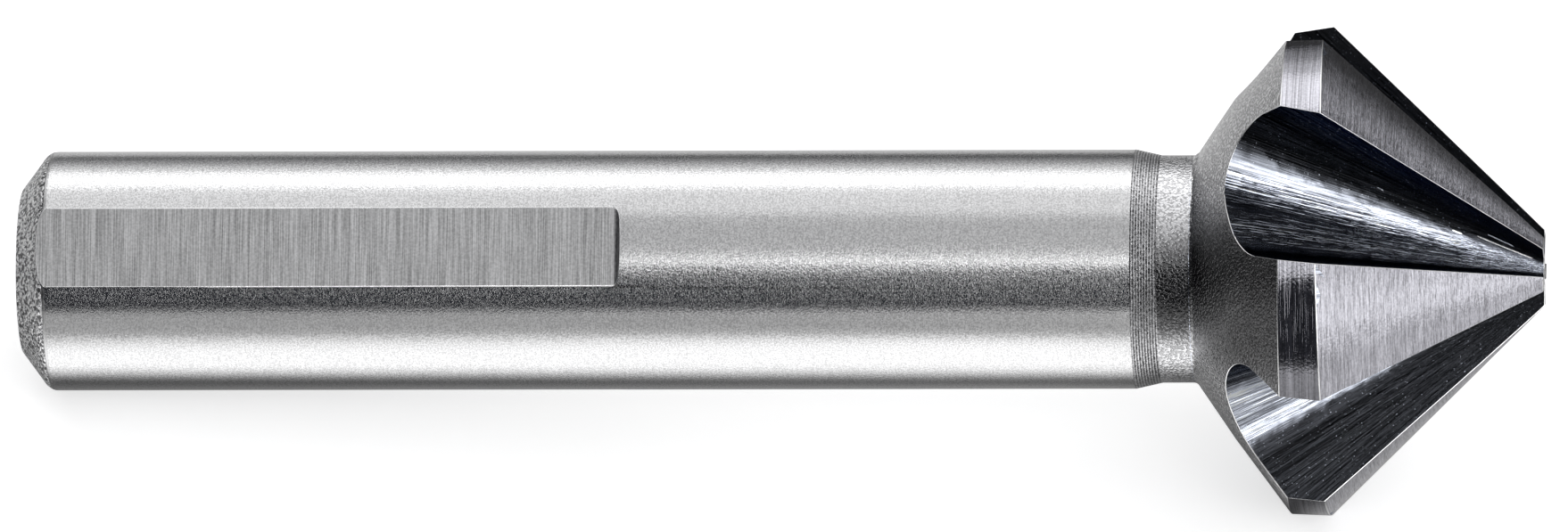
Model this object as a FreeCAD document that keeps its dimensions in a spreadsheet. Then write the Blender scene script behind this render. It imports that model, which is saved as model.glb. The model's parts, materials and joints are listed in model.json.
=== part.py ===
import FreeCAD, Part
import math
import os

import Sketcher

# Countersink bit of 90 degrees with five unequally spaced, relieved blades, made from one
# bar of high speed steel. Its axis is X: the end face of the shank stands at x = 0 and the
# tip points to +X. Angles are given in the YZ plane, from +Y towards +Z. Seen from the
# shank the bit turns clockwise, which is the direction in which these angles grow.
# The finished bit is laid down at the end, as it comes to rest on a table.

NODE = "countersink_bit"

SIZES = (
    ("overall_length", 63.7, "end face to tip flat"),
    ("shank_diameter", 10.0, "ground shank"),
    ("end_face_diameter", 6.9, "flat left inside the end chamfer"),
    ("end_chamfer_length", 1.15, "along the axis"),
    ("end_edge_round", 0.6, "rounding between end chamfer and shank"),
    ("neck_taper_length", 1.1, "ring between ground shank and neck"),
    ("neck_diameter", 9.5, "blasted neck behind the head"),
    ("neck_length", 1.45, "ring to the foot of the back cone"),
    ("back_cone_length", 3.9, "its foot to the back edge of the lands"),
    ("back_fillet", 0.3, "rounding at the foot of the back cone"),
    ("flat_length", 25.4, "end face to the far end of the flats"),
    ("flat_depth", 0.29, "below the shank surface"),
    ("flat_end_round", 0.28, "corner radius of the grinding wheel"),
    ("flat_angle", 127.9, "direction of the first flat"),
    ("flat_count", 3, "flats round the shank"),
    ("head_diameter", 21.0, "over the leading corners"),
    ("tip_flat_diameter", 3.2, "over the leading edges at the tip"),
    ("land_length", 1.7, "back edge of the lands to the leading corners"),
    ("land_back_taper", 2.5, "degrees"),
    ("point_angle", 90.0, "included angle of the cutting edges, degrees"),
    ("land_angle", 32.6, "width of each blade, degrees"),
    ("land_relief", 0.4, "drop of a land from lead to heel"),
    ("cone_relief", 0.545, "drop of a cutting face at the corner, lead to heel"),
    ("back_relief_start", 1.5, "foot of the back cone to where it is relieved too"),
    ("grind_allowance", 0.04, "left on the turned blank for the relief grinding"),
    ("relief_run_in", 0.02, "clearance of the relief tool at its start"),
    ("relief_overlap", 11.0, "how far a relief starts in front of its edge, degrees"),
    ("pitch_one", 73.5, "first edge to second edge, degrees"),
    ("pitch_two", 74.5, "second edge to third edge, degrees"),
    ("pitch_three", 67.5, "third edge to fourth edge, degrees"),
    ("pitch_four", 69.3, "fourth edge to fifth edge, degrees"),
    ("rake_one", 7.0, "slope of the face in front of the first edge, degrees"),
    ("rake_two", 7.0, "second edge, degrees"),
    ("rake_three", 14.0, "third edge, degrees"),
    ("rake_four", 13.5, "fourth edge, degrees"),
    ("rake_five", 4.0, "fifth edge, degrees"),
    ("flute_face", 6.1, "leading corner to the corner under the flute root"),
    ("flute_depth_radius", 5.85, "axis to the outer corner of the flute root"),
    ("flute_lean", 16.0, "that corner past the middle of the gap, degrees"),
    ("flute_root_round", 2.05, "rounding under the cutting face"),
    ("flute_heel_round", 2.55, "rounding towards the heel of the next blade"),
    ("flute_overrun", 0.54, "flute apex beyond the axis"),
    ("flute_shift", 0.16, "flute apex in front of the edge"),
    ("flute_start", 0.7, "foot of the back cone to where the flute tool stands clear"),
)

BLADES = ("one", "two", "three", "four", "five")
RUN_OUT = 3.0          # the wheel of the flats reaches this far past the shank
OUTER_REACH = 1.35     # outer side of a relief tool, in head radii
FLUTE_REACH = 0.6      # a flute tool reaches this far past the corners, in head radii
HEEL_REACH = 2.2       # and this far along its heel wall, of the wall's own length
LAND_TOOL_REACH = 1.2  # the tool of a land ends this far in front of the corners
FACE_TOOL_START = 0.6  # and that of a cutting face starts this far behind them
RELIEF_MARGIN = 0.5    # left between the ends of two reliefs, in degrees
STRAIGHT_DOWN = 270.0  # direction of the table, in degrees


def make_sheet(doc):
    """The sheet of driving sizes: one plain number a row, with its alias and what it is."""
    sheet = doc.addObject("Spreadsheet::Sheet", "Sizes")
    for row, (alias, value, note) in enumerate(SIZES, start=1):
        sheet.set("A%d" % row, alias)
        sheet.set("B%d" % row, str(value))
        sheet.setAlias("B%d" % row, alias)
        sheet.set("C%d" % row, note)
    doc.recompute()
    return sheet


def origin_part(body, role):
    """The origin plane or axis of a body that plays this role."""
    for feature in body.Origin.OriginFeatures:
        if feature.Role == role:
            return feature
    raise RuntimeError("the body has no %s" % role)


class Outline:
    """A closed outline of straight lines in a sketch, with rounded corners where asked.

    Each corner is held by the formulas for its two coordinates. A rounded corner keeps its
    sharp point as a construction point on both of its lines, so it is dimensioned there.
    """

    def __init__(self, sheet, sketch, prefix=""):
        self.sheet = sheet
        self.sketch = sketch
        self.prefix = prefix
        self.corners = []

    def value(self, formula):
        result = self.sheet.evalExpression(formula)
        return float(getattr(result, "Value", result))

    def corner(self, name, x, y, rounding=None):
        self.corners.append((name, x, y, rounding))

    def hold(self, kind, name, formula, *where):
        """Add one dimension and bind it to its formula."""
        label = self.prefix + name
        index = self.sketch.addConstraint(Sketcher.Constraint(kind, *where, self.value(formula)))
        self.sketch.renameConstraint(index, label)
        self.sketch.setExpression("Constraints." + label, formula)

    def place(self, name, x, y, geometry, vertex):
        """Hold a point at its formulas, or on the sketch axis where a formula is zero."""
        if x == "0":
            self.sketch.addConstraint(Sketcher.Constraint("PointOnObject", geometry, vertex, -2))
        else:
            self.hold("DistanceX", name + "_x", x, -1, 1, geometry, vertex)
        if y == "0":
            self.sketch.addConstraint(Sketcher.Constraint("PointOnObject", geometry, vertex, -1))
        else:
            self.hold("DistanceY", name + "_y", y, -1, 1, geometry, vertex)

    def draw(self):
        points = [FreeCAD.Vector(self.value(x), self.value(y), 0) for _, x, y, _ in self.corners]
        count = len(points)
        entry, leave, arcs = list(points), list(points), {}
        for number, (_, _, _, rounding) in enumerate(self.corners):
            if rounding is None:
                continue
            here = points[number]
            back = (points[number - 1] - here).normalize()
            ahead = (points[(number + 1) % count] - here).normalize()
            half = 0.5 * back.getAngle(ahead)
            radius = self.value(rounding)
            entry[number] = here + back * (radius / math.tan(half))
            leave[number] = here + ahead * (radius / math.tan(half))
            centre = here + (back + ahead).normalize() * (radius / math.sin(half))
            middle = centre + (here - centre).normalize() * radius
            arcs[number] = Part.Arc(entry[number], middle, leave[number])
        lines = []
        for number in range(count):
            segment = Part.LineSegment(leave[number], entry[(number + 1) % count])
            lines.append(self.sketch.addGeometry(segment))
        for number, (name, x, y, rounding) in enumerate(self.corners):
            before, after = lines[number - 1], lines[number]
            if rounding is None:
                self.sketch.addConstraint(Sketcher.Constraint("Coincident", before, 2, after, 1))
                self.place(name, x, y, after, 1)
                continue
            arc = self.sketch.addGeometry(arcs[number])
            first = self.sketch.getPoint(arc, 1)
            turned = first.distanceToPoint(entry[number]) > first.distanceToPoint(leave[number])
            self.sketch.addConstraint(Sketcher.Constraint("Tangent", before, 2, arc, 2 if turned else 1))
            self.sketch.addConstraint(Sketcher.Constraint("Tangent", after, 1, arc, 1 if turned else 2))
            self.hold("Radius", name + "_round", rounding, arc)
            sharp = self.sketch.addGeometry(Part.Point(points[number]), True)
            self.sketch.addConstraint(Sketcher.Constraint("PointOnObject", sharp, 1, before))
            self.sketch.addConstraint(Sketcher.Constraint("PointOnObject", sharp, 1, after))
            self.place(name, x, y, sharp, 1)


def crosswise_sketch(body, name, station, angle):
    """A sketch across the axis at a station, its own x axis turned to an angle."""
    sketch = body.newObject("Sketcher::SketchObject", name)
    sketch.AttachmentSupport = [(origin_part(body, "YZ_Plane"), "")]
    sketch.MapMode = "FlatFace"
    sketch.setExpression("AttachmentOffset.Base.z", station)
    sketch.setExpression("AttachmentOffset.Rotation.Angle", angle)
    return sketch


def turned_blank(body, sheet):
    """Shank, neck and head as they leave the lathe, turned about X."""
    sketch = body.newObject("Sketcher::SketchObject", "blank_profile")
    sketch.AttachmentSupport = [(origin_part(body, "XY_Plane"), "")]
    sketch.MapMode = "FlatFace"
    back_radius = "%s + Sizes.grind_allowance" % land_radius(land_start())
    outline = Outline(sheet, sketch)
    outline.corner("end_centre", "0", "0")
    outline.corner("end_face", "0", "Sizes.end_face_diameter / 2")
    outline.corner("end_edge", "Sizes.end_chamfer_length", "Sizes.shank_diameter / 2",
                   "Sizes.end_edge_round")
    outline.corner("ground_end", "%s - Sizes.neck_length - Sizes.neck_taper_length" % cone_foot(),
                   "Sizes.shank_diameter / 2")
    outline.corner("neck", "%s - Sizes.neck_length" % cone_foot(), "Sizes.neck_diameter / 2")
    outline.corner("cone_foot", cone_foot(), "Sizes.neck_diameter / 2", "Sizes.back_fillet")
    outline.corner("land_back", land_start(), back_radius)
    outline.corner("land_front", corner_station(), "Sizes.head_diameter / 2 + Sizes.grind_allowance")
    outline.corner("tip_edge", "Sizes.overall_length",
                   "Sizes.tip_flat_diameter / 2 + Sizes.grind_allowance")
    outline.corner("tip_centre", "Sizes.overall_length", "0")
    outline.draw()
    blank = body.newObject("PartDesign::Revolution", "turned_blank")
    blank.Profile = sketch
    blank.ReferenceAxis = (sketch, ["H_Axis"])
    blank.Angle = 360
    return blank


def apex_station():
    """Where the leading edges, carried on past the tip flat, would meet the axis."""
    return "(Sizes.overall_length + Sizes.tip_flat_diameter / 2 / tan(Sizes.point_angle * 1deg / 2))"


def corner_station():
    """End face to the leading corners. The head keeps its place behind the tip."""
    return "(%s - Sizes.head_diameter / 2 / tan(Sizes.point_angle * 1deg / 2))" % apex_station()


def land_start():
    """End face to the back edge of the lands."""
    return "(%s - Sizes.land_length)" % corner_station()


def cone_foot():
    """End face to the foot of the back cone."""
    return "(%s - Sizes.back_cone_length)" % land_start()


def land_radius(station):
    """Radius of a leading land edge at a station, in front of or behind the corner."""
    return ("(Sizes.head_diameter / 2 + (%s - %s) * tan(Sizes.land_back_taper * 1deg))"
            % (station, corner_station()))


def growth(station):
    """How much larger the cone is at a station than at the leading corners."""
    return "((%s - %s) / (%s - %s))" % (apex_station(), station, apex_station(), corner_station())


def shank_flats(body, sheet):
    """Three flats ground along the shank, with the wheel's corner radius at their end."""
    sketch = body.newObject("Sketcher::SketchObject", "flat_profile")
    sketch.AttachmentSupport = [(origin_part(body, "XY_Plane"), "")]
    sketch.MapMode = "FlatFace"
    sketch.AttachmentOffset = FreeCAD.Placement(
        FreeCAD.Vector(), FreeCAD.Rotation(FreeCAD.Vector(1, 0, 0), 1))
    sketch.setExpression("AttachmentOffset.Rotation.Angle", "Sizes.flat_angle * 1deg")
    floor = "Sizes.shank_diameter / 2 - Sizes.flat_depth"
    outside = "Sizes.shank_diameter / 2 + %s" % RUN_OUT
    outline = Outline(sheet, sketch)
    outline.corner("start", "-%s" % RUN_OUT, floor)
    outline.corner("end", "Sizes.flat_length", floor, "Sizes.flat_end_round")
    outline.corner("end_outside", "Sizes.flat_length", outside)
    outline.corner("start_outside", "-%s" % RUN_OUT, outside)
    outline.draw()
    pocket = body.newObject("PartDesign::Pocket", "flat")
    pocket.Profile = sketch
    pocket.Midplane = True
    pocket.setExpression("Length", "Sizes.shank_diameter + %s" % RUN_OUT)
    pattern = body.newObject("PartDesign::PolarPattern", "flats")
    pattern.Originals = [pocket]
    pattern.Axis = (origin_part(body, "X_Axis"), [""])
    pattern.Angle = 360
    pattern.setExpression("Occurrences", "Sizes.flat_count")
    body.Tip = pattern
    return pattern


def relief_section(body, sheet, name, station, lead, angle, reach, drop):
    """The crescent between a relieved blade and the outside, across the axis.

    Its inner side is an arc through the leading edge, whose centre is set off at right
    angles to the middle of the blade, so that the blade falls away by the drop from lead
    to heel. It runs from a little in front of its own edge to as far in front of the edge
    behind, where a flute takes what is left.
    """
    sketch = crosswise_sketch(body, name, station, angle)
    outline = Outline(sheet, sketch)
    offset = "(%s / (Sizes.land_angle * 1deg / 1rad))" % drop
    centre_x = "%s * sin(Sizes.land_angle * 1deg / 2)" % offset
    centre_y = "%s * cos(Sizes.land_angle * 1deg / 2)" % offset
    outer = "(%s * %s)" % (OUTER_REACH, lead)
    front = "(Sizes.relief_overlap * 1deg)"
    behind = "((%s - Sizes.relief_overlap + %s) * 1deg)" % (reach, RELIEF_MARGIN)
    centre = FreeCAD.Vector(outline.value(centre_x), outline.value(centre_y), 0)
    radius = math.hypot(outline.value(lead) - centre.x, centre.y)
    ends = []
    for side, turn in ((1, outline.value("%s / 1rad" % front)), (-1, outline.value("%s / 1rad" % behind))):
        ray = FreeCAD.Vector(math.cos(turn), side * math.sin(turn), 0)
        along = ray.dot(centre)
        inner = ray * (along + math.sqrt(along ** 2 - centre.Length ** 2 + radius ** 2))
        ends.append((inner, ray * outline.value(outer)))
    (front_in, front_out), (behind_in, behind_out) = ends
    lead_point = FreeCAD.Vector(outline.value(lead), 0, 0)
    arc = sketch.addGeometry(Part.Arc(behind_in, lead_point, front_in))
    front_line = sketch.addGeometry(Part.LineSegment(front_in, front_out))
    cap = sketch.addGeometry(Part.LineSegment(front_out, behind_out))
    behind_line = sketch.addGeometry(Part.LineSegment(behind_out, behind_in))
    edge = sketch.addGeometry(Part.Point(lead_point), True)
    sketch.addConstraint([
        Sketcher.Constraint("Coincident", arc, 2, front_line, 1),
        Sketcher.Constraint("Coincident", front_line, 2, cap, 1),
        Sketcher.Constraint("Coincident", cap, 2, behind_line, 1),
        Sketcher.Constraint("Coincident", behind_line, 2, arc, 1),
        Sketcher.Constraint("PointOnObject", edge, 1, arc),
        Sketcher.Constraint("PointOnObject", -1, 1, front_line),
        Sketcher.Constraint("PointOnObject", -1, 1, behind_line),
    ])
    outline.place("edge", lead, "0", edge, 1)
    if outline.value(drop) == 0:
        sketch.addConstraint(Sketcher.Constraint("Coincident", arc, 3, -1, 1))
    else:
        outline.place("centre", centre_x, centre_y, arc, 3)
    outline.place("front", "%s * cos(%s)" % (outer, front), "%s * sin(%s)" % (outer, front),
                  front_line, 2)
    outline.place("behind", "%s * cos(%s)" % (outer, behind), "-%s * sin(%s)" % (outer, behind),
                  cap, 2)
    return sketch


def apex_point(body, sheet, name, angle, x="0", y="0"):
    """A sketch that holds only the point in which a conical cut ends."""
    sketch = crosswise_sketch(body, name, apex_station(), angle)
    point = sketch.addGeometry(Part.Point(FreeCAD.Vector(0, 0, 0)))
    Outline(sheet, sketch).place("apex", x, y, point, 1)
    return sketch


def relief_cuts(body, sheet, blade, angle, reach):
    """Relieve one blade: its back and land in one cut, its cutting face in another."""
    foot_radius = ("(Sizes.neck_diameter / 2 + Sizes.relief_run_in"
                   " + (%s + Sizes.grind_allowance - Sizes.neck_diameter / 2)"
                   " * Sizes.back_relief_start / Sizes.back_cone_length)" % land_radius(land_start()))
    beyond = "(%s + %s)" % (corner_station(), LAND_TOOL_REACH)
    first = relief_section(body, sheet, "foot_section_" + blade,
                           "%s + Sizes.back_relief_start" % cone_foot(), foot_radius, angle, reach, "0")
    second = relief_section(body, sheet, "back_section_" + blade, land_start(),
                            land_radius(land_start()), angle, reach, "Sizes.land_relief")
    third = relief_section(body, sheet, "land_section_" + blade, beyond,
                           land_radius(beyond), angle, reach, "Sizes.land_relief")
    land = body.newObject("PartDesign::SubtractiveLoft", "land_relief_" + blade)
    land.Profile = first
    land.Sections = [second, third]
    land.Ruled = True
    behind = "(%s - %s)" % (corner_station(), FACE_TOOL_START)
    face_section = relief_section(
        body, sheet, "face_section_" + blade, behind,
        "(Sizes.head_diameter / 2 * %s)" % growth(behind), angle, reach,
        "(Sizes.cone_relief * %s)" % growth(behind))
    face = body.newObject("PartDesign::SubtractiveLoft", "face_relief_" + blade)
    face.Profile = face_section
    face.Sections = [(apex_point(body, sheet, "face_apex_" + blade, angle), ["Vertex1"])]
    face.Ruled = True
    return face


def flute_cut(body, sheet, blade, angle, gap):
    """The conical flute in front of one edge, which runs out towards the tip.

    Its section is worked out at the leading corners: the cutting face, the root corner
    beneath it, the root corner towards the next blade, and the wall up to that heel. It
    is drawn larger where the tool enters, so that it has its true size at the corners.
    """
    station = "(%s + Sizes.flute_start)" % cone_foot()
    sketch = crosswise_sketch(body, "flute_section_" + blade, station, angle)
    size = growth(station)
    rake = "(Sizes.rake_%s * 1deg)" % blade
    radius = "Sizes.head_diameter / 2"
    turn = "((%s / 2 + Sizes.flute_lean) * 1deg)" % gap
    root_x = "(Sizes.flute_depth_radius * cos(%s))" % turn
    root_y = "(Sizes.flute_depth_radius * sin(%s))" % turn
    heel_x = "((%s - Sizes.land_relief) * cos(%s * 1deg))" % (radius, gap)
    heel_y = "((%s - Sizes.land_relief) * sin(%s * 1deg))" % (radius, gap)
    beyond = "(%s * %s)" % (FLUTE_REACH, radius)
    outline = Outline(sheet, sketch)

    def corner(name, x, y, rounding=None):
        outline.corner(name, "(%s) * %s - Sizes.flute_overrun * (1 - %s)" % (x, size, size),
                       "(%s) * %s + Sizes.flute_shift * (1 - %s)" % (y, size, size),
                       None if rounding is None else "%s * %s" % (rounding, size))

    corner("outer", "%s + %s * cos(%s)" % (radius, beyond, rake), "%s * sin(%s)" % (beyond, rake))
    corner("under", "%s - Sizes.flute_face * cos(%s)" % (radius, rake),
           "-Sizes.flute_face * sin(%s)" % rake, "Sizes.flute_root_round")
    corner("root", root_x, root_y, "Sizes.flute_heel_round")
    corner("heel", "%s + (%s - %s) * %s" % (root_x, heel_x, root_x, HEEL_REACH),
           "%s + (%s - %s) * %s" % (root_y, heel_y, root_y, HEEL_REACH))
    outline.draw()
    apex = apex_point(body, sheet, "flute_apex_" + blade, angle, "-Sizes.flute_overrun", "Sizes.flute_shift")
    flute = body.newObject("PartDesign::SubtractiveLoft", "flute_" + blade)
    flute.Profile = sketch
    flute.Sections = [(apex, ["Vertex1"])]
    flute.Ruled = True
    return flute


def pitch(number):
    """Angle from an edge to the next one. The last pitch closes the circle."""
    if number < len(BLADES) - 1:
        return "Sizes.pitch_" + BLADES[number]
    others = " - ".join("Sizes.pitch_" + blade for blade in BLADES[:-1])
    return "(360 - %s)" % others


def resting_side(sheet):
    """How the bit lies on the first and second blades, across the gap between them.

    Gives the direction of the table from the first leading edge, in degrees, and the
    distance from the axis down to the line through the two back corners of the lands.
    """
    gap = math.radians(sheet.pitch_one - sheet.land_angle)
    lead = sheet.head_diameter / 2 - sheet.land_length * math.tan(math.radians(sheet.land_back_taper))
    heel = lead - sheet.land_relief
    across = FreeCAD.Vector(heel * math.cos(gap) - lead, heel * math.sin(gap), 0)
    height = lead * heel * math.sin(gap) / across.Length
    return math.degrees(math.acos(height / lead)), height


def resting_tilt(sheet, height):
    """How far the nose is raised, in degrees: the table touches the rounded rear edge of
    the shank and the back corners of two lands."""
    radius = sheet.shank_diameter / 2
    chamfer = math.atan2(radius - sheet.end_face_diameter / 2, sheet.end_chamfer_length)
    round_start = sheet.end_chamfer_length + sheet.end_edge_round * math.tan(chamfer / 2)
    rise = height - radius + sheet.end_edge_round
    run = sheet.evalExpression(land_start()).Value - round_start
    return math.degrees(math.atan2(rise, run) - math.asin(sheet.end_edge_round / math.hypot(rise, run)))


def check(doc, body):
    """Stop if any feature failed, or if the bit is not one valid solid."""
    for item in doc.Objects:
        if "Invalid" in item.State or "Error" in item.State:
            raise RuntimeError("%s failed: %s" % (item.Name, item.State))
    shape = body.Shape
    if shape.isNull() or not shape.isValid() or len(shape.Solids) != 1:
        raise RuntimeError("the bit is not one valid solid")


def main():
    doc = FreeCAD.newDocument("countersink")
    sheet = make_sheet(doc)
    body = doc.addObject("PartDesign::Body", "Bit")
    body.Label = NODE
    turned_blank(body, sheet)
    shank_flats(body, sheet)
    doc.recompute()
    # the first edge stands so that the table lies straight below
    towards_table, height = resting_side(sheet)
    first_edge = STRAIGHT_DOWN - towards_table
    edges = ["%.9f" % first_edge]
    for number in range(len(BLADES) - 1):
        edges.append("%s + %s" % (edges[-1], pitch(number)))
    for number, blade in enumerate(BLADES):
        relief_cuts(body, sheet, blade, "(%s) * 1deg" % edges[number], pitch(number - 1 if number else 4))
    for number, blade in enumerate(BLADES):
        gap = "(%s - Sizes.land_angle)" % pitch(number)
        flute_cut(body, sheet, blade, "(%s) * 1deg" % edges[number], gap)
    doc.recompute()
    body.Placement = FreeCAD.Placement(
        FreeCAD.Vector(), FreeCAD.Rotation(FreeCAD.Vector(0, 1, 0), -resting_tilt(sheet, height)))
    doc.recompute()
    box = body.Shape.optimalBoundingBox(False, False)
    body.Placement = FreeCAD.Placement(
        FreeCAD.Vector(-box.Center.x, -box.Center.y, -box.ZMin), body.Placement.Rotation)
    doc.recompute()
    check(doc, body)
    os.makedirs("parts", exist_ok=True)
    body.Shape.exportStep("parts/%s.step" % NODE)
    print("volume %.1f mm3, tilt %.3f, box %s" % (body.Shape.Volume, resting_tilt(sheet, height), box))


main()
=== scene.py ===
import json
import math

import bmesh
import bpy
import numpy as np
from bpy.props import FloatProperty, FloatVectorProperty, PointerProperty
from mathutils import Matrix, Vector


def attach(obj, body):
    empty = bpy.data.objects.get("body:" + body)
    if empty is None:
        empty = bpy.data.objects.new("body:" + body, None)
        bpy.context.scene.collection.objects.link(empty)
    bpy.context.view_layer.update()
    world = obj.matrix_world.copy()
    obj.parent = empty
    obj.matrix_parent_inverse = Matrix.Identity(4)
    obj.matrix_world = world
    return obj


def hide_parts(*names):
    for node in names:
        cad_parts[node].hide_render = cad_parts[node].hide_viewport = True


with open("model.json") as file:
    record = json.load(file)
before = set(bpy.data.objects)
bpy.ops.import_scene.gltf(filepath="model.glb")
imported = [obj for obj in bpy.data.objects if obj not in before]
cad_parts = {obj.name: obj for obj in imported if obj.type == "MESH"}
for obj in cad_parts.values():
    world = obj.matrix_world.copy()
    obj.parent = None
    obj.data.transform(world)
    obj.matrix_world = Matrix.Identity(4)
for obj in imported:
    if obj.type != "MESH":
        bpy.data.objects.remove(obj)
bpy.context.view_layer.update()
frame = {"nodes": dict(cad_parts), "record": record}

bl_info = {
    "name": "Countersink Bit",
    "version": (1, 0, 0),
    "blender": (4, 5, 0),
    "location": "View3D > Sidebar > Countersink",
    "description": "Dresses the countersink bit in its ground, blasted and fluted steel finishes",
    "category": "Object",
}

MM = 0.001
NODE = "countersink_bit"
SHANK_MOUNT_STATION = 36.025   # mm from the end face to the middle of the shank mount

# Stations along the bit, in millimetres from the end face of its shank
CHAMFER_END = 1.15
FLATS_END = 25.4
GROUND_END = 46.65
RING_END = 47.75
CONE_FOOT = 49.2
LAND_START = 53.1
CORNERS = 54.8
APEX = 65.3
TIP = 63.7

# Other sizes of the bit, in millimetres
SHANK_RADIUS = 5.0
FLAT_MARGIN = 0.012            # the faces of a flat lie at least this far inside the shank
LAND_RADIUS = 9.7              # the lands lie outside this radius
GROOVE_PITCH = 0.115           # of the turned ring behind the ground shank

# Painted shade: neck, back cone and ring are darkened round this line, where they mirror the dim front of the
# room
PAINTED_SHADE_ANGLE = math.radians(28)  # height of the darkest line of neck and back cone, at the front

# Order of the finishes, which is also the order of the bit's material slots
FINISHES = ("shank", "flat", "chamfer", "ring", "blasted", "land", "face", "flute", "tip", "edge")

# Soft boxes over the bit: the elevations that each fills, from the camera's side over the top
# to the back, in degrees, and how bright it is
SKY_BOXES = (
    ("front_strip", 44.5, 51.0, 1.35),
    ("over_box", 51.5, 93.0, 0.60),
    ("over_back_box", 93.5, 127.0, 0.95),
    ("back_box", 127.5, 151.0, 1.7),
    ("edge_box", 151.5, 163.0, 0.85),
    ("low_back_box", 163.5, 176.0, 0.36),
)
LIGHT_DISTANCE = 0.75          # metres, about, from each soft box to the bit


def bit_place():
    """Where the bit's own frame stands: the middle of its end face and the unit vector along it."""
    mount = next(m for m in frame["record"]["mounts"] if m["name"] == "shank")
    along = -np.array(mount["axis"], float)
    along /= np.linalg.norm(along)
    return np.array(mount["pos_m"], float) - SHANK_MOUNT_STATION * MM * along, along


ORIGIN, ALONG = bit_place()
TILT = math.asin(ALONG[2])


def to_bit(points):
    """Points of the row frame in metres as x, y, z of the bit's frame in millimetres."""
    moved = (np.asarray(points, float) - ORIGIN) / MM
    c, s = math.cos(TILT), math.sin(TILT)
    return np.column_stack([moved[:, 0] * c + moved[:, 2] * s, moved[:, 1],
                            moved[:, 2] * c - moved[:, 0] * s])


def turn_to_bit(vectors):
    """Directions of the row frame in the bit's frame."""
    return to_bit(np.asarray(vectors, float) * MM + ORIGIN)


def from_bit(x, y, z):
    """A direction of the bit's frame in the row frame."""
    c, s = math.cos(TILT), math.sin(TILT)
    return Vector((x * c - z * s, y, x * s + z * c))


# Sizes and colours a user would change


class BitSettings(bpy.types.PropertyGroup):
    bevel_width: FloatProperty(
        name="Edge width", description="Width of the small bevel on every ground edge",
        default=0.03 * MM, min=0.0, unit="LENGTH", subtype="DISTANCE")
    sharp_angle: FloatProperty(
        name="Sharp angle", description="Edges that turn by more than this are edges of the grinding",
        default=math.radians(16.5), min=0.0, unit="ROTATION", subtype="ANGLE")
    steel: FloatVectorProperty(
        name="Ground steel", description="Colour of the bright ground steel",
        default=(0.67, 0.67, 0.675), size=3, min=0.0, max=1.0, subtype="COLOR")
    flat_steel: FloatVectorProperty(
        name="Flats", description="Colour of the crosswise ground flats",
        default=(0.53, 0.53, 0.535), size=3, min=0.0, max=1.0, subtype="COLOR")
    blasted_steel: FloatVectorProperty(
        name="Blasted steel", description="Colour of the blasted neck and back cone",
        default=(0.50, 0.50, 0.51), size=3, min=0.0, max=1.0, subtype="COLOR")
    flute_steel: FloatVectorProperty(
        name="Flutes", description="Colour of the polished flutes",
        default=(0.66, 0.70, 0.80), size=3, min=0.0, max=1.0, subtype="COLOR")
    face_steel: FloatVectorProperty(
        name="Cutting faces", description="Colour of the finely ground lands and cutting faces",
        default=(0.43, 0.427, 0.465), size=3, min=0.0, max=1.0, subtype="COLOR")


class StageSettings(bpy.types.PropertyGroup):
    camera_distance: FloatProperty(
        name="Camera distance", description="From the camera to the middle of the bit",
        default=1.0, min=0.5, unit="LENGTH", subtype="DISTANCE")
    picture_width: FloatProperty(
        name="Picture width", description="Width of what the camera sees at the bit",
        default=65.5 * MM, min=0.001, unit="LENGTH", subtype="DISTANCE")
    floor_colour: FloatVectorProperty(
        name="Floor", description="Colour of the plain pale floor",
        default=(0.80, 0.80, 0.80), size=3, min=0.0, max=1.0, subtype="COLOR")
    floor_size: FloatProperty(
        name="Floor size", description="Side of the square floor",
        default=6.0, min=0.1, unit="LENGTH", subtype="DISTANCE")


# Shader nodes


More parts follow.
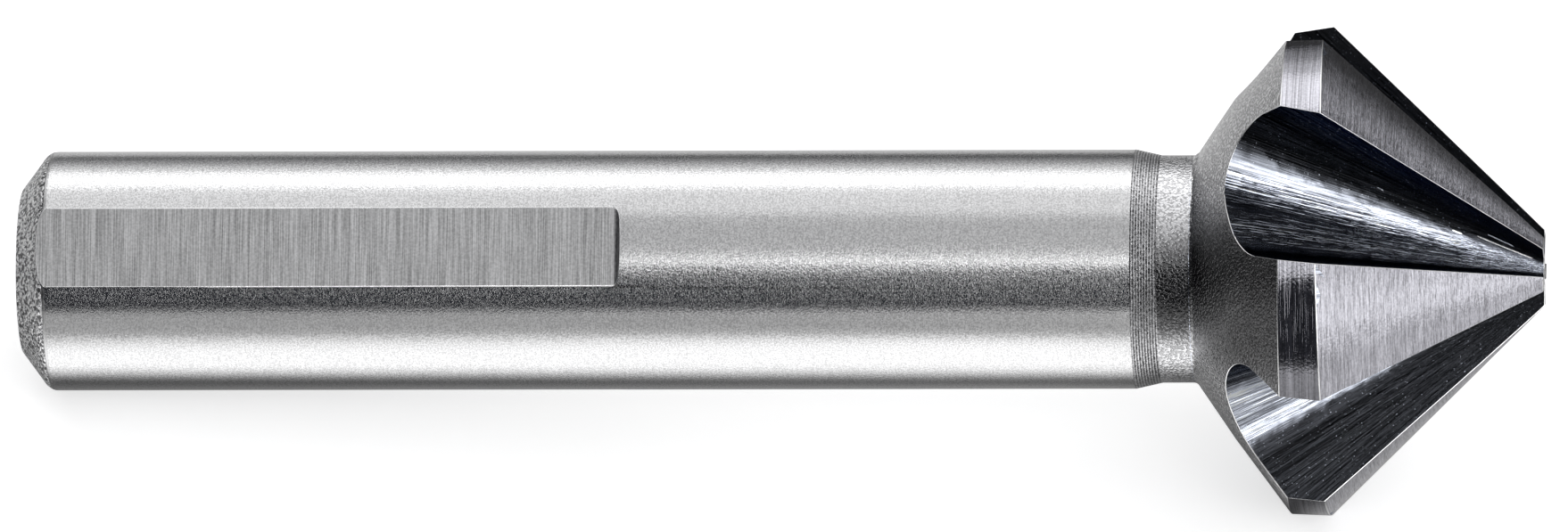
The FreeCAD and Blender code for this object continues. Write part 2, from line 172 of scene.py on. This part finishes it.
class Wiring:
    """Adds nodes to one node tree and joins them, so that a finish reads as a list of steps."""

    def __init__(self, tree):
        self.tree = tree

    def add(self, kind, inputs=None, **settings):
        node = self.tree.nodes.new(kind)
        for key, value in settings.items():
            setattr(node, key, value)
        for key, value in (inputs or {}).items():
            self.put(node.inputs[key], value)
        return node

    def put(self, socket, value):
        if isinstance(value, bpy.types.NodeSocket):
            self.tree.links.new(value, socket)
        else:
            socket.default_value = value

    def math(self, operation, first, second=0.0, third=0.0, clamp=False):
        node = self.add("ShaderNodeMath", {0: first, 1: second, 2: third},
                        operation=operation, use_clamp=clamp)
        return node.outputs[0]

    def product(self, first, *others):
        for other in others:
            first = self.math("MULTIPLY", first, other)
        return first

    def vector(self, operation, first, second=(0, 0, 0), out=0):
        node = self.add("ShaderNodeVectorMath", {0: first, 1: second}, operation=operation)
        return node.outputs[out]

    def scale(self, vector, factor):
        """A vector or a colour times a number that may change over the surface."""
        node = self.add("ShaderNodeVectorMath", {0: vector, "Scale": factor}, operation="SCALE")
        return node.outputs[0]

    def join(self, x, y, z):
        node = self.add("ShaderNodeCombineXYZ", {0: x, 1: y, 2: z})
        return node.outputs[0]

    def between(self, value, low, high, to_low=0.0, to_high=1.0):
        """A smooth step: to_low where the value is low, to_high where it is high."""
        node = self.add("ShaderNodeMapRange", {0: value, 1: low, 2: high, 3: to_low, 4: to_high},
                        interpolation_type="SMOOTHSTEP")
        return node.outputs[0]

    def swing(self, noise, reach):
        """Noise as a value from -1 to 1, which it has at 0.5 - reach and at 0.5 + reach."""
        return self.between(noise, 0.5 - reach, 0.5 + reach, -1.0, 1.0)

    def mix(self, factor, first, second):
        node = self.add("ShaderNodeMix", {0: factor, 6: first, 7: second}, data_type="RGBA")
        return node.outputs[2]

    def noise(self, vector, scale, detail, roughness):
        node = self.add("ShaderNodeTexNoise", {"Vector": vector, "Scale": scale, "Detail": detail,
                                               "Roughness": roughness}, noise_dimensions="3D")
        return node.outputs[0]

    def grain(self, x, y, z, scale):
        """Even noise with no direction."""
        return self.noise(self.scale(self.join(x, y, z), scale), 1.0, 1.0, 0.5)

    def bump(self, height, depth):
        """The normal of a surface that is raised by a height, to a depth in millimetres."""
        node = self.add("ShaderNodeBump", {"Height": height, "Distance": depth * MM, "Strength": 1.0})
        return node.outputs[0]

    def place(self):
        """The point in the row frame, in metres."""
        return self.add("ShaderNodeTexCoord").outputs["Object"]

    def bit_coordinates(self):
        """x along the bit, y and z across it, in millimetres from the middle of its end face."""
        node = self.add("ShaderNodeMapping",
                        {"Vector": self.place(), "Location": tuple(ORIGIN),
                         "Rotation": (0.0, -TILT, 0.0), "Scale": (MM, MM, MM)},
                        vector_type="TEXTURE")
        apart = self.add("ShaderNodeSeparateXYZ", {0: node.outputs[0]})
        return apart.outputs[0], apart.outputs[1], apart.outputs[2]


def new_group(name, inputs, outputs):
    """An empty shader node group with named sockets, and its wiring and its two end nodes."""
    tree = bpy.data.node_groups.new(name, "ShaderNodeTree")
    for label, default in inputs:
        socket = tree.interface.new_socket(name=label, in_out="INPUT", socket_type="NodeSocketFloat")
        socket.default_value = default
    for label in outputs:
        tree.interface.new_socket(name=label, in_out="OUTPUT", socket_type="NodeSocketFloat")
    wiring = Wiring(tree)
    return tree, wiring, wiring.add("NodeGroupInput").outputs, wiring.add("NodeGroupOutput").inputs


def grinding_and_painted_shade_group():
    """Marks of a grinding wheel that run round the axis: noise stretched far round the bit.

    Streak and Fine are noise of the station, times the lines per mm, and of the place on a
    circle round the axis, times the turns, once coarse and once fine. Grain is even noise with
    no direction. Groove runs from -1 to 1 over each groove of the turned ring. The last output
    is the mask of a painted shade: 1 on the line of neck and back cone that gets the most of it,
    facing the front of the room, and 0 away from it.
    """
    tree, w, given, out = new_group(
        "round_grinding_and_painted_shade", (("Lines", 9.0), ("Turns", 1.2), ("Grain", 30.0)),
        ("Streak", "Fine", "Grain", "Groove", "Painted front shade"))
    x, y, z = w.bit_coordinates()
    angle = w.math("ARCTAN2", z, y)
    turn_a = w.math("COSINE", angle)
    turn_b = w.math("SINE", angle)
    around = w.join(w.math("MULTIPLY", x, given["Lines"]), w.math("MULTIPLY", turn_a, given["Turns"]),
                    w.math("MULTIPLY", turn_b, given["Turns"]))
    w.put(out["Streak"], w.noise(around, 1.0, 3.0, 0.6))
    w.put(out["Fine"], w.noise(w.vector("MULTIPLY", around, (3.7, 6.0, 6.0)), 1.0, 2.0, 0.7))
    w.put(out["Grain"], w.grain(x, y, z, given["Grain"]))
    w.put(out["Groove"], w.math("SINE", w.math("MULTIPLY", x, 2 * math.pi / GROOVE_PITCH)))
    front = w.math("MULTIPLY_ADD", turn_b, math.sin(PAINTED_SHADE_ANGLE),
                   w.math("MULTIPLY", turn_a, -math.cos(PAINTED_SHADE_ANGLE)))
    radius = w.vector("LENGTH", w.join(0.0, y, z), out=1)
    # Painted shade mask: 1 round the line of neck and back cone that faces the front of the room
    w.put(out["Painted front shade"], w.product(w.between(front, 0.79, 1.0), w.between(radius, 4.7, 8.5, 0.95, 1.0)))
    return tree


def flute_group():
    """Marks along the flutes: all of them run to the point where the cutting edges would meet.

    Streak and Fine are noise of (y / d, z / d, small part of x), where d is the distance that
    is left to that point, so they are constant along each line of the cone. Grain is even
    noise. Cutting side and Heel side are 1 on the two walls of a flute, which face opposite
    ways round the axis; they mask the painted shade on the walls.
    """
    tree, w, given, out = new_group(
        "flute_polish", (("Lines", 110.0), ("Length", 0.10), ("Grain", 16.0)),
        ("Streak", "Fine", "Grain", "Cutting side", "Heel side"))
    x, y, z = w.bit_coordinates()
    left = w.math("MAXIMUM", w.math("SUBTRACT", APEX, x), 0.4)
    lines = w.join(w.math("MULTIPLY", w.math("DIVIDE", y, left), given["Lines"]),
                   w.math("MULTIPLY", w.math("DIVIDE", z, left), given["Lines"]),
                   w.math("MULTIPLY", x, given["Length"]))
    w.put(out["Streak"], w.noise(lines, 0.35, 3.0, 0.65))
    w.put(out["Fine"], w.noise(lines, 1.6, 2.0, 0.7))
    w.put(out["Grain"], w.grain(x, y, z, given["Grain"]))
    from_end = w.vector("SUBTRACT", w.place(), tuple(ORIGIN))
    around = w.vector("NORMALIZE", w.vector("CROSS_PRODUCT", tuple(ALONG), from_end))
    facing = w.add("ShaderNodeNewGeometry").outputs["Normal"]
    turn = w.vector("DOT_PRODUCT", around, facing, out=1)
    w.put(out["Cutting side"], w.between(turn, 0.22, 0.96))
    w.put(out["Heel side"], w.between(turn, -0.66, -0.90))
    return tree


def new_material(name):
    """A material with only an output and a Principled BSDF."""
    material = bpy.data.materials.new(name)
    material.use_nodes = True
    material.node_tree.nodes.clear()
    wiring = Wiring(material.node_tree)
    shader = wiring.add("ShaderNodeBsdfPrincipled")
    wiring.add("ShaderNodeOutputMaterial", {"Surface": shader.outputs[0]})
    return material, wiring, shader


def new_steel(name, group, **values):
    """A metal material with a group of marks, and its wiring, its shader and the marks."""
    material, w, shader = new_material(name)
    shader.inputs["Metallic"].default_value = 1.0
    marks = w.add("ShaderNodeGroup", values, node_tree=group)
    return material, w, shader, marks.outputs


def dress(w, shader, colour, level, height, depth):
    """Gives a shader its colour times a level, and a surface that is raised by a height."""
    w.put(shader.inputs["Base Color"], w.scale(tuple(colour), level))
    w.put(shader.inputs["Normal"], w.bump(height, depth))


def ground_finish(name, group, colour, *, lines, turns, grain=30.0, streak_tone, fine_tone=0.0,
                  grain_tone, rough, rough_range, bump, stretch):
    """Ground steel: lines round the axis and grain change its tone, and grain its roughness."""
    material, w, shader, marks = new_steel(name, group, Lines=lines, Turns=turns, Grain=grain)
    streak, fine, speck = (w.swing(marks[label], 0.14) for label in ("Streak", "Fine", "Grain"))
    level = w.math("MULTIPLY_ADD", streak, streak_tone, 1.0)
    level = w.math("MULTIPLY_ADD", fine, fine_tone, level)
    level = w.math("MULTIPLY_ADD", speck, grain_tone, level)
    w.put(shader.inputs["Roughness"], w.math("MULTIPLY_ADD", speck, rough_range, rough, clamp=True))
    shader.inputs["Anisotropic"].default_value = stretch
    w.put(shader.inputs["Tangent"], w.join(*ALONG))
    height = w.math("ADD", w.math("MULTIPLY", fine, 0.6), w.math("MULTIPLY", speck, 0.4))
    dress(w, shader, colour, level, height, bump)
    return material


def blasted_finish(name, group, colour, *, rough, grain, tone, bump, painted_shade=0.0):
    """Blasted steel: dull, with an even fine speckle, and painted shade towards the front where asked."""
    material, w, shader, marks = new_steel(name, group, Grain=grain)
    speck = w.swing(marks["Grain"], 0.14)
    # Painted shade towards the front, in place of the dim room that the steel mirrors
    level = w.product(w.math("MULTIPLY_ADD", speck, tone, 1.0),
                      w.math("MULTIPLY_ADD", marks["Painted front shade"], -painted_shade, 1.0))
    shader.inputs["Roughness"].default_value = rough
    dress(w, shader, colour, level, speck, bump)
    return material


def turned_finish(name, group, colour):
    """The turned ring: fine even grooves round it, a speckle over them and a little painted shade at the
    front.
    """
    material, w, shader, marks = new_steel(name, group, Grain=12.0)
    speck = w.swing(marks["Grain"], 0.2)
    groove = marks["Groove"]
    level = w.math("MULTIPLY_ADD", groove, 0.50, 1.0)
    level = w.math("MULTIPLY_ADD", speck, 0.45, level)
    # A little painted shade towards the front, as on the neck
    level = w.product(level, w.math("MULTIPLY_ADD", marks["Painted front shade"], -0.2, 1.0))
    shader.inputs["Roughness"].default_value = 0.32
    dress(w, shader, colour, level, w.math("MULTIPLY_ADD", speck, 0.35, groove), 0.012)
    return material


def flute_finish(name, group, colour):
    """Polished flute: a mirror with streaks that run to the tip and a few bright specks, and painted shade on
    its walls.
    """
    # Painted shade: only this part of the colour is left on the two walls of a flute
    cutting_wall_shade, heel_wall_shade = 0.02, 0.035   # what is left of the colour on the two walls
    material, w, shader, marks = new_steel(name, group)
    streak = w.swing(marks["Streak"], 0.15)
    fine = w.swing(marks["Fine"], 0.2)
    level = w.math("MULTIPLY_ADD", streak, 0.36, 0.90)
    level = w.math("MULTIPLY_ADD", fine, 0.40, level)
    # Painted shade on the cutting and heel walls
    level = w.product(level, w.between(marks["Cutting side"], 0.0, 1.0, 1.0, cutting_wall_shade),
                      w.between(marks["Heel side"], 0.0, 1.0, 1.0, heel_wall_shade))
    level = w.math("ADD", level, w.between(marks["Grain"], 0.70, 0.78, 0.0, 0.5))
    shader.inputs["Specular Tint"].default_value = (0.4, 0.42, 0.48, 1.0)
    w.put(shader.inputs["Roughness"], w.math("MULTIPLY_ADD", fine, 0.04, 0.16, clamp=True))
    dress(w, shader, colour, level, w.math("MULTIPLY_ADD", fine, 0.35, streak), 0.007)
    return material


def shade(colour, factor):
    """A colour made darker or lighter."""
    return tuple(min(1.0, part * factor) for part in colour)


def make_finishes(settings):
    """One material for each finish, in the order of the bit's slots."""
    rings = grinding_and_painted_shade_group()
    polish = flute_group()
    steel = tuple(settings.steel)
    dull = tuple(settings.blasted_steel)
    faces = tuple(settings.face_steel)
    return {
        "shank": ground_finish(
            "ground_shank", rings, steel, lines=14.0, turns=5.0, grain=13.0, streak_tone=0.04,
            fine_tone=0.07, grain_tone=0.15, rough=0.105, rough_range=0.065, bump=0.002, stretch=0.6),
        "flat": ground_finish(
            "ground_flats", rings, tuple(settings.flat_steel), lines=5.5, turns=0.25, grain=10.0,
            streak_tone=0.10, fine_tone=0.26, grain_tone=0.10, rough=0.34, rough_range=0.05,
            bump=0.002, stretch=0.5),
        "chamfer": blasted_finish(
            "rough_chamfer", rings, shade(dull, 1.35), rough=0.34, grain=7.0, tone=0.75, bump=0.035),
        "ring": turned_finish("turned_ring_painted_shade", rings, shade(dull, 0.95)),
        # The blasted neck and back cone get painted shade towards the front
        "blasted": blasted_finish(
            "blasted_neck_painted_shade", rings, shade(dull, 1.3), rough=0.20, grain=9.0, tone=0.30, bump=0.006,
            painted_shade=0.84),
        "land": ground_finish(
            "ground_lands", rings, shade(faces, 0.92), lines=9.0, turns=0.4, grain=9.0,
            streak_tone=0.22, fine_tone=0.22, grain_tone=0.08, rough=0.13, rough_range=0.03,
            bump=0.002, stretch=0.6),
        "face": ground_finish(
            "ground_faces", rings, faces, lines=13.0, turns=2.2, grain=9.0, streak_tone=0.18,
            fine_tone=0.30, grain_tone=0.08, rough=0.17, rough_range=0.04, bump=0.003, stretch=0.6),
        "flute": flute_finish("polished_flutes_painted_shade", polish, settings.flute_steel),
        "tip": ground_finish(
            "ground_tip", rings, steel, lines=7.0, turns=1.0, streak_tone=0.1, grain_tone=0.05,
            rough=0.25, rough_range=0.05, bump=0.002, stretch=0.2),
        # The small bevels catch real highlights, and their lifted colour adds a painted highlight
        "edge": ground_finish(
            "bright_edges_painted_highlight", rings, shade(steel, 1.4), lines=4.0, turns=6.0, streak_tone=0.08,
            grain_tone=0.1, rough=0.22, rough_range=0.04, bump=0.001, stretch=0.0),
    }


# The bit


def face_zones(centres, normals):
    """The finish of each face, told by its station, its radius and which way it faces."""
    x = centres[:, 0]
    radius = np.hypot(centres[:, 1], centres[:, 2])
    outward = (normals[:, 1] * centres[:, 1] + normals[:, 2] * centres[:, 2]) / np.maximum(radius, 1e-6)
    along = normals[:, 0]
    cone = (along + outward) / math.sqrt(2)
    backwards = along < -0.3
    shank = x < GROUND_END
    slack = 0.01   # mm, for faces that lie on a station
    # Where two rules hold for a face, the later one counts
    rules = (
        ("blasted", (x < LAND_START + slack) & (backwards | (x < CONE_FOOT - 0.1))),
        ("land", (x > LAND_START - slack) & (x < CORNERS + slack) & (radius > LAND_RADIUS) & (outward > 0.9)),
        ("face", (x > CORNERS - slack) & (cone > 0.93) & (radius > 0.9 * (APEX - x))),
        ("tip", (x > TIP - slack) & (along > 0.98)),
        ("ring", (x > GROUND_END) & (x < RING_END)),
        ("shank", shank),
        ("flat", shank & (x < FLATS_END + slack) & (radius < SHANK_RADIUS - FLAT_MARGIN)),
        ("chamfer", (x < CHAMFER_END + 0.1) & backwards),
    )
    zone = np.full(len(x), FINISHES.index("flute"))
    for finish, faces in rules:
        zone[faces] = FINISHES.index(finish)
    return zone


def edge_normals(mesh, bevel_slot, limit):
    """A normal for each corner of each face.

    It is the mean of the faces round its vertex that turn by less than the limit, by area,
    without the bevels. A corner on a bevel takes the mean of all the others round it, so
    the large faces stay true and only the bevel is round.
    """
    def read(items, name, kind=np.int64, width=1):
        values = np.empty(len(items) * width, kind)
        items.foreach_get(name, values)
        return values

    loop_vertex = read(mesh.loops, "vertex_index")
    totals = read(mesh.polygons, "loop_total")
    areas = read(mesh.polygons, "area", float)
    slots = read(mesh.polygons, "material_index")
    normals = read(mesh.polygons, "normal", float, 3).reshape(-1, 3)
    count = len(loop_vertex)
    loop_face = np.repeat(np.arange(len(totals)), totals)

    # Every pair of corners at one vertex: here and there
    order = np.argsort(loop_vertex, kind="stable")
    valence = np.bincount(loop_vertex, minlength=len(mesh.vertices))
    first = np.concatenate([[0], np.cumsum(valence)[:-1]])
    sizes = valence[loop_vertex]
    here = np.repeat(np.arange(count), sizes)
    step = np.arange(len(here)) - np.repeat(np.cumsum(sizes) - sizes, sizes)
    there = order[np.repeat(first[loop_vertex], sizes) + step]
    face_here, face_there = loop_face[here], loop_face[there]

    on_bevel_here = slots[face_here] == bevel_slot
    on_bevel_there = slots[face_there] == bevel_slot
    alike = (normals[face_here] * normals[face_there]).sum(1) > math.cos(limit)
    least = 1e-16   # so that a corner with only bevels round it has a normal too
    weight = areas[face_there] * (~on_bevel_there) * (alike | on_bevel_here) + least * on_bevel_there
    result = np.zeros((count, 3))
    np.add.at(result, here, normals[face_there] * weight[:, None])
    result /= np.maximum(np.linalg.norm(result, axis=1), 1e-30)[:, None]
    return result


def make_bit(settings):
    """The bit's own surface with small bevels on its ground edges and a finish for each zone."""
    one_point = 1e-6   # metres: vertices that are closer than this are one
    edge_slot = FINISHES.index("edge")
    shape = bmesh.new()
    shape.from_mesh(frame["nodes"][NODE].data)
    bmesh.ops.remove_doubles(shape, verts=shape.verts, dist=one_point)
    bmesh.ops.dissolve_degenerate(shape, edges=shape.edges, dist=2 * one_point)
    shape.normal_update()
    centres = to_bit([face.calc_center_median() for face in shape.faces])
    normals = turn_to_bit([face.normal for face in shape.faces])
    for face, slot in zip(shape.faces, face_zones(centres, normals)):
        face.material_index = int(slot)
    sharp = [edge for edge in shape.edges
             if len(edge.link_faces) == 2 and edge.calc_face_angle(0.0) > settings.sharp_angle]
    bmesh.ops.bevel(shape, geom=sharp, offset=settings.bevel_width, offset_type="OFFSET", segments=2,
                    profile=0.5, affect="EDGES", clamp_overlap=False, loop_slide=True,
                    material=edge_slot)
    mesh = bpy.data.meshes.new("bit")
    shape.to_mesh(mesh)
    shape.free()
    finishes = make_finishes(settings)
    for finish in FINISHES:
        mesh.materials.append(finishes[finish])
    mesh.polygons.foreach_set("use_smooth", np.ones(len(mesh.polygons), bool))
    mesh.normals_split_custom_set(edge_normals(mesh, edge_slot, settings.sharp_angle))
    bit = bpy.data.objects.new("bit", mesh)
    bpy.context.scene.collection.objects.link(bit)
    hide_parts(NODE)
    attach(bit, "root")


# Stage


def painted_floor_reflection(w):
    """Painted reflection: how brightly the floor glows in the steel, place by place, though no lamp.

    The terms are smooth steps of x and y on the floor, in metres, and of t = (|y| - r) / h,
    where y is the distance from the line below the bit, r the shank's radius and h the height
    of the bit's axis there. A band of t keeps one place along the shank, though the bit lies
    at a slant.
    """
    apart = w.add("ShaderNodeSeparateXYZ", {0: w.place()})
    x, y = apart.outputs[0], apart.outputs[1]
    slope = math.tan(TILT)
    height = w.math("MULTIPLY_ADD", x, slope, ORIGIN[2] - ORIGIN[0] * slope)
    past = w.math("SUBTRACT", w.math("ABSOLUTE", w.math("SUBTRACT", y, ORIGIN[1])), SHANK_RADIUS * MM)
    part = w.math("DIVIDE", past, w.math("MAXIMUM", height, 0.004))

    # Painted reflection close beside the shank, and less behind it: the dim and bright bands of its lower
    # side
    beside = w.product(w.between(part, -0.20, 0.36), w.between(part, 0.45, 2.7, 1.45, 0.0),
                       w.between(x, 0.016, 0.0225, 1.0, 0.0), w.between(y, -0.001, 0.003, 1.0, 0.25))
    # In front of the bit, not far to its sides
    aside = w.math("MULTIPLY_ADD", y, 0.3, w.math("ABSOLUTE", x))
    front = w.product(w.between(y, -0.006, -0.02, 0.0, 0.42), w.between(aside, 0.04, 0.08, 1.0, 0.0))
    # Behind the shank, brighter farther back
    behind = w.product(w.between(y, -0.006, 0.0, 0.0, 0.26), w.between(y, 0.045, 0.09, 1.0, 0.0),
                       w.between(y, 0.008, 0.022, 1.0, 2.2), w.between(x, 0.01, 0.03, 1.0, 0.0))
    # Under the head
    under = w.product(w.between(x, 0.0216, 0.0240), w.between(y, -0.009, -0.0055, 0.0, 0.42),
                      w.between(y, 0.008, 0.018, 1.0, 0.0))
    # Past the tip
    right = w.product(w.between(x, 0.034, 0.065, 0.0, 0.80), w.between(y, 0.02, 0.06, 1.0, 0.0))
    near = w.math("ADD", w.math("ADD", beside, front), w.math("MAXIMUM", behind, under))
    return w.math("ADD", near, right)


def make_floor(settings):
    """A plain square of floor under the bit, white for the camera, with painted shade and painted reflection
    in the steel.
    """
    camera_glow = 0.62     # what the floor gives off towards the camera, to be white there
    # Painted shade: the steel mirrors the floor with its colour cut to this part
    painted_shade_part = 0.07   # of the floor's colour is left where the steel mirrors it
    half = settings.floor_size / 2
    mesh = bpy.data.meshes.new("floor")
    mesh.from_pydata([(-half, -half, 0), (half, -half, 0), (half, half, 0), (-half, half, 0)], [],
                     [(0, 1, 2, 3)])
    floor = bpy.data.objects.new("floor", mesh)
    bpy.context.scene.collection.objects.link(floor)
    material, w, shader = new_material("pale_floor_painted_reflection")
    path = w.add("ShaderNodeLightPath").outputs
    mirrored = w.math("MAXIMUM", path["Is Glossy Ray"], path["Is Transmission Ray"])
    pale = (*settings.floor_colour, 1.0)
    # The floor's colour as the steel mirrors it, cut down as painted shade
    dim = (*shade(settings.floor_colour, painted_shade_part), 1.0)
    w.put(shader.inputs["Base Color"], w.mix(mirrored, pale, dim))
    shader.inputs["Roughness"].default_value = 0.9
    shader.inputs["Specular IOR Level"].default_value = 0.0
    shader.inputs["Emission Color"].default_value = (1.0, 1.0, 1.0, 1.0)
    # Painted reflection: the floor glows for rays that the steel mirrors, in bands, though it is no lamp
    w.put(shader.inputs["Emission Strength"],
          w.math("MULTIPLY_ADD", path["Is Camera Ray"], camera_glow,
                 w.math("MULTIPLY", mirrored, painted_floor_reflection(w))))
    mesh.materials.append(material)


def soft_light(name, place, target, width, height, brightness):
    """One soft box, aimed at a point. At a brightness of 1 a white mirror shows it as white."""
    light = bpy.data.lights.new(name, "AREA")
    light.shape = "RECTANGLE"
    light.size = width
    light.size_y = height
    light.energy = brightness * math.pi * width * height
    lamp = bpy.data.objects.new(name, light)
    bpy.context.scene.collection.objects.link(lamp)
    lamp.visible_camera = False
    lamp.location = place
    lamp.rotation_euler = (target - place).to_track_quat("-Z", "Y").to_euler()


def make_lights():
    """Soft boxes over the bit from front to back, one beside the tip and one at the front right.

    Those over the bit give the bright bands along the ground shank. The other two light the
    cutting faces and the flutes.
    """
    middle = Vector((0.0, 0.0, 0.01))
    for name, low, high, brightness in SKY_BOXES:
        lift = math.radians((low + high) / 2)
        place = Vector((0.0, -LIGHT_DISTANCE * math.cos(lift), LIGHT_DISTANCE * math.sin(lift)))
        height = 2 * LIGHT_DISTANCE * math.tan(math.radians(high - low) / 2)
        soft_light(name, place, middle, width=1.3, height=height, brightness=brightness)
    soft_light("tip_box", Vector((LIGHT_DISTANCE, 0.0, 0.14)), middle,
               width=0.7, height=0.26, brightness=1.3)
    turn, lift = math.radians(-42.0), math.radians(28.0)
    place = Vector((math.cos(turn) * math.cos(lift), math.sin(turn) * math.cos(lift), math.sin(lift)))
    soft_light("flute_box", place * LIGHT_DISTANCE, middle, width=0.50, height=0.58, brightness=2.6)


def make_world():
    """A dim room that is white where the camera looks past the floor."""
    world = bpy.data.worlds.new("studio")
    bpy.context.scene.world = world
    world.use_nodes = True
    world.node_tree.nodes.clear()
    w = Wiring(world.node_tree)
    path = w.add("ShaderNodeLightPath")
    room = w.add("ShaderNodeBackground", {"Color": (0.03, 0.0315, 0.037, 1.0), "Strength": 1.0})
    white = w.add("ShaderNodeBackground", {"Color": (1.0, 1.0, 1.0, 1.0), "Strength": 1.0})
    mixed = w.add("ShaderNodeMixShader", {0: path.outputs["Is Camera Ray"], 1: room.outputs[0],
                                          2: white.outputs[0]})
    w.add("ShaderNodeOutputWorld", {"Surface": mixed.outputs[0]})


def make_camera(settings):
    """A long lens that looks down on the bit from the side, with the tip to the right.

    The photo may be taken from farther off, but from much more than 1 m the bit is missing
    from pictures taken at other angles with this lens. The view direction makes up for it at
    the head. All numbers here are measured on the photo.
    """
    sensor_width = 36.0   # mm
    aim_station, aim_lift = 31.9, 0.156   # mm along the bit, and above its axis in the picture
    towards = from_bit(0.0770, -0.7637, 0.6429).normalized()
    right = from_bit(0.0, 0.644, 0.765).cross(towards).normalized()
    up = towards.cross(right).normalized()
    roll = Matrix.Rotation(-0.00198, 3, towards)
    axes = Matrix((roll @ right, roll @ up, towards)).transposed()
    target = Vector(ORIGIN) + Vector(ALONG) * aim_station * MM + up * aim_lift * MM
    camera = bpy.data.cameras.new("camera")
    camera.sensor_width = sensor_width
    camera.lens = sensor_width * settings.camera_distance / settings.picture_width
    seat = bpy.data.objects.new("camera", camera)
    bpy.context.scene.collection.objects.link(seat)
    seat.matrix_world = Matrix.Translation(target + towards * settings.camera_distance) @ axes.to_4x4()
    bpy.context.scene.camera = seat


# Operators, panel and registration


class OBJECT_OT_countersink_bit(bpy.types.Operator):
    """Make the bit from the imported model, with its bevels and finishes"""
    bl_idname = "object.countersink_bit"
    bl_label = "Make bit"

    def execute(self, context):
        make_bit(context.scene.countersink_bit)
        return {"FINISHED"}


class OBJECT_OT_countersink_stage(bpy.types.Operator):
    """Make the floor, the lights, the room and the camera"""
    bl_idname = "object.countersink_stage"
    bl_label = "Make stage"

    def execute(self, context):
        settings = context.scene.countersink_stage
        make_floor(settings)
        make_lights()
        make_world()
        make_camera(settings)
        context.scene.view_settings.view_transform = "Standard"
        return {"FINISHED"}


class VIEW3D_PT_countersink(bpy.types.Panel):
    """Lists the steps and their sizes and colours"""
    bl_idname = "VIEW3D_PT_countersink"
    bl_label = "Countersink bit"
    bl_space_type = "VIEW_3D"
    bl_region_type = "UI"
    bl_category = "Countersink"

    def draw(self, context):
        for operator, settings in (("object.countersink_bit", context.scene.countersink_bit),
                                   ("object.countersink_stage", context.scene.countersink_stage)):
            self.layout.operator(operator)
            for name in settings.bl_rna.properties.keys():
                if name not in ("rna_type", "name"):
                    self.layout.prop(settings, name)


CLASSES = (BitSettings, StageSettings, OBJECT_OT_countersink_bit, OBJECT_OT_countersink_stage,
           VIEW3D_PT_countersink)


def register():
    for item in CLASSES:
        bpy.utils.register_class(item)
    bpy.types.Scene.countersink_bit = PointerProperty(type=BitSettings)
    bpy.types.Scene.countersink_stage = PointerProperty(type=StageSettings)


def unregister():
    del bpy.types.Scene.countersink_stage
    del bpy.types.Scene.countersink_bit
    for item in reversed(CLASSES):
        bpy.utils.unregister_class(item)


def main():
    register()
    bpy.ops.object.countersink_bit()
    bpy.ops.object.countersink_stage()


if __name__ == "__main__":
    main()
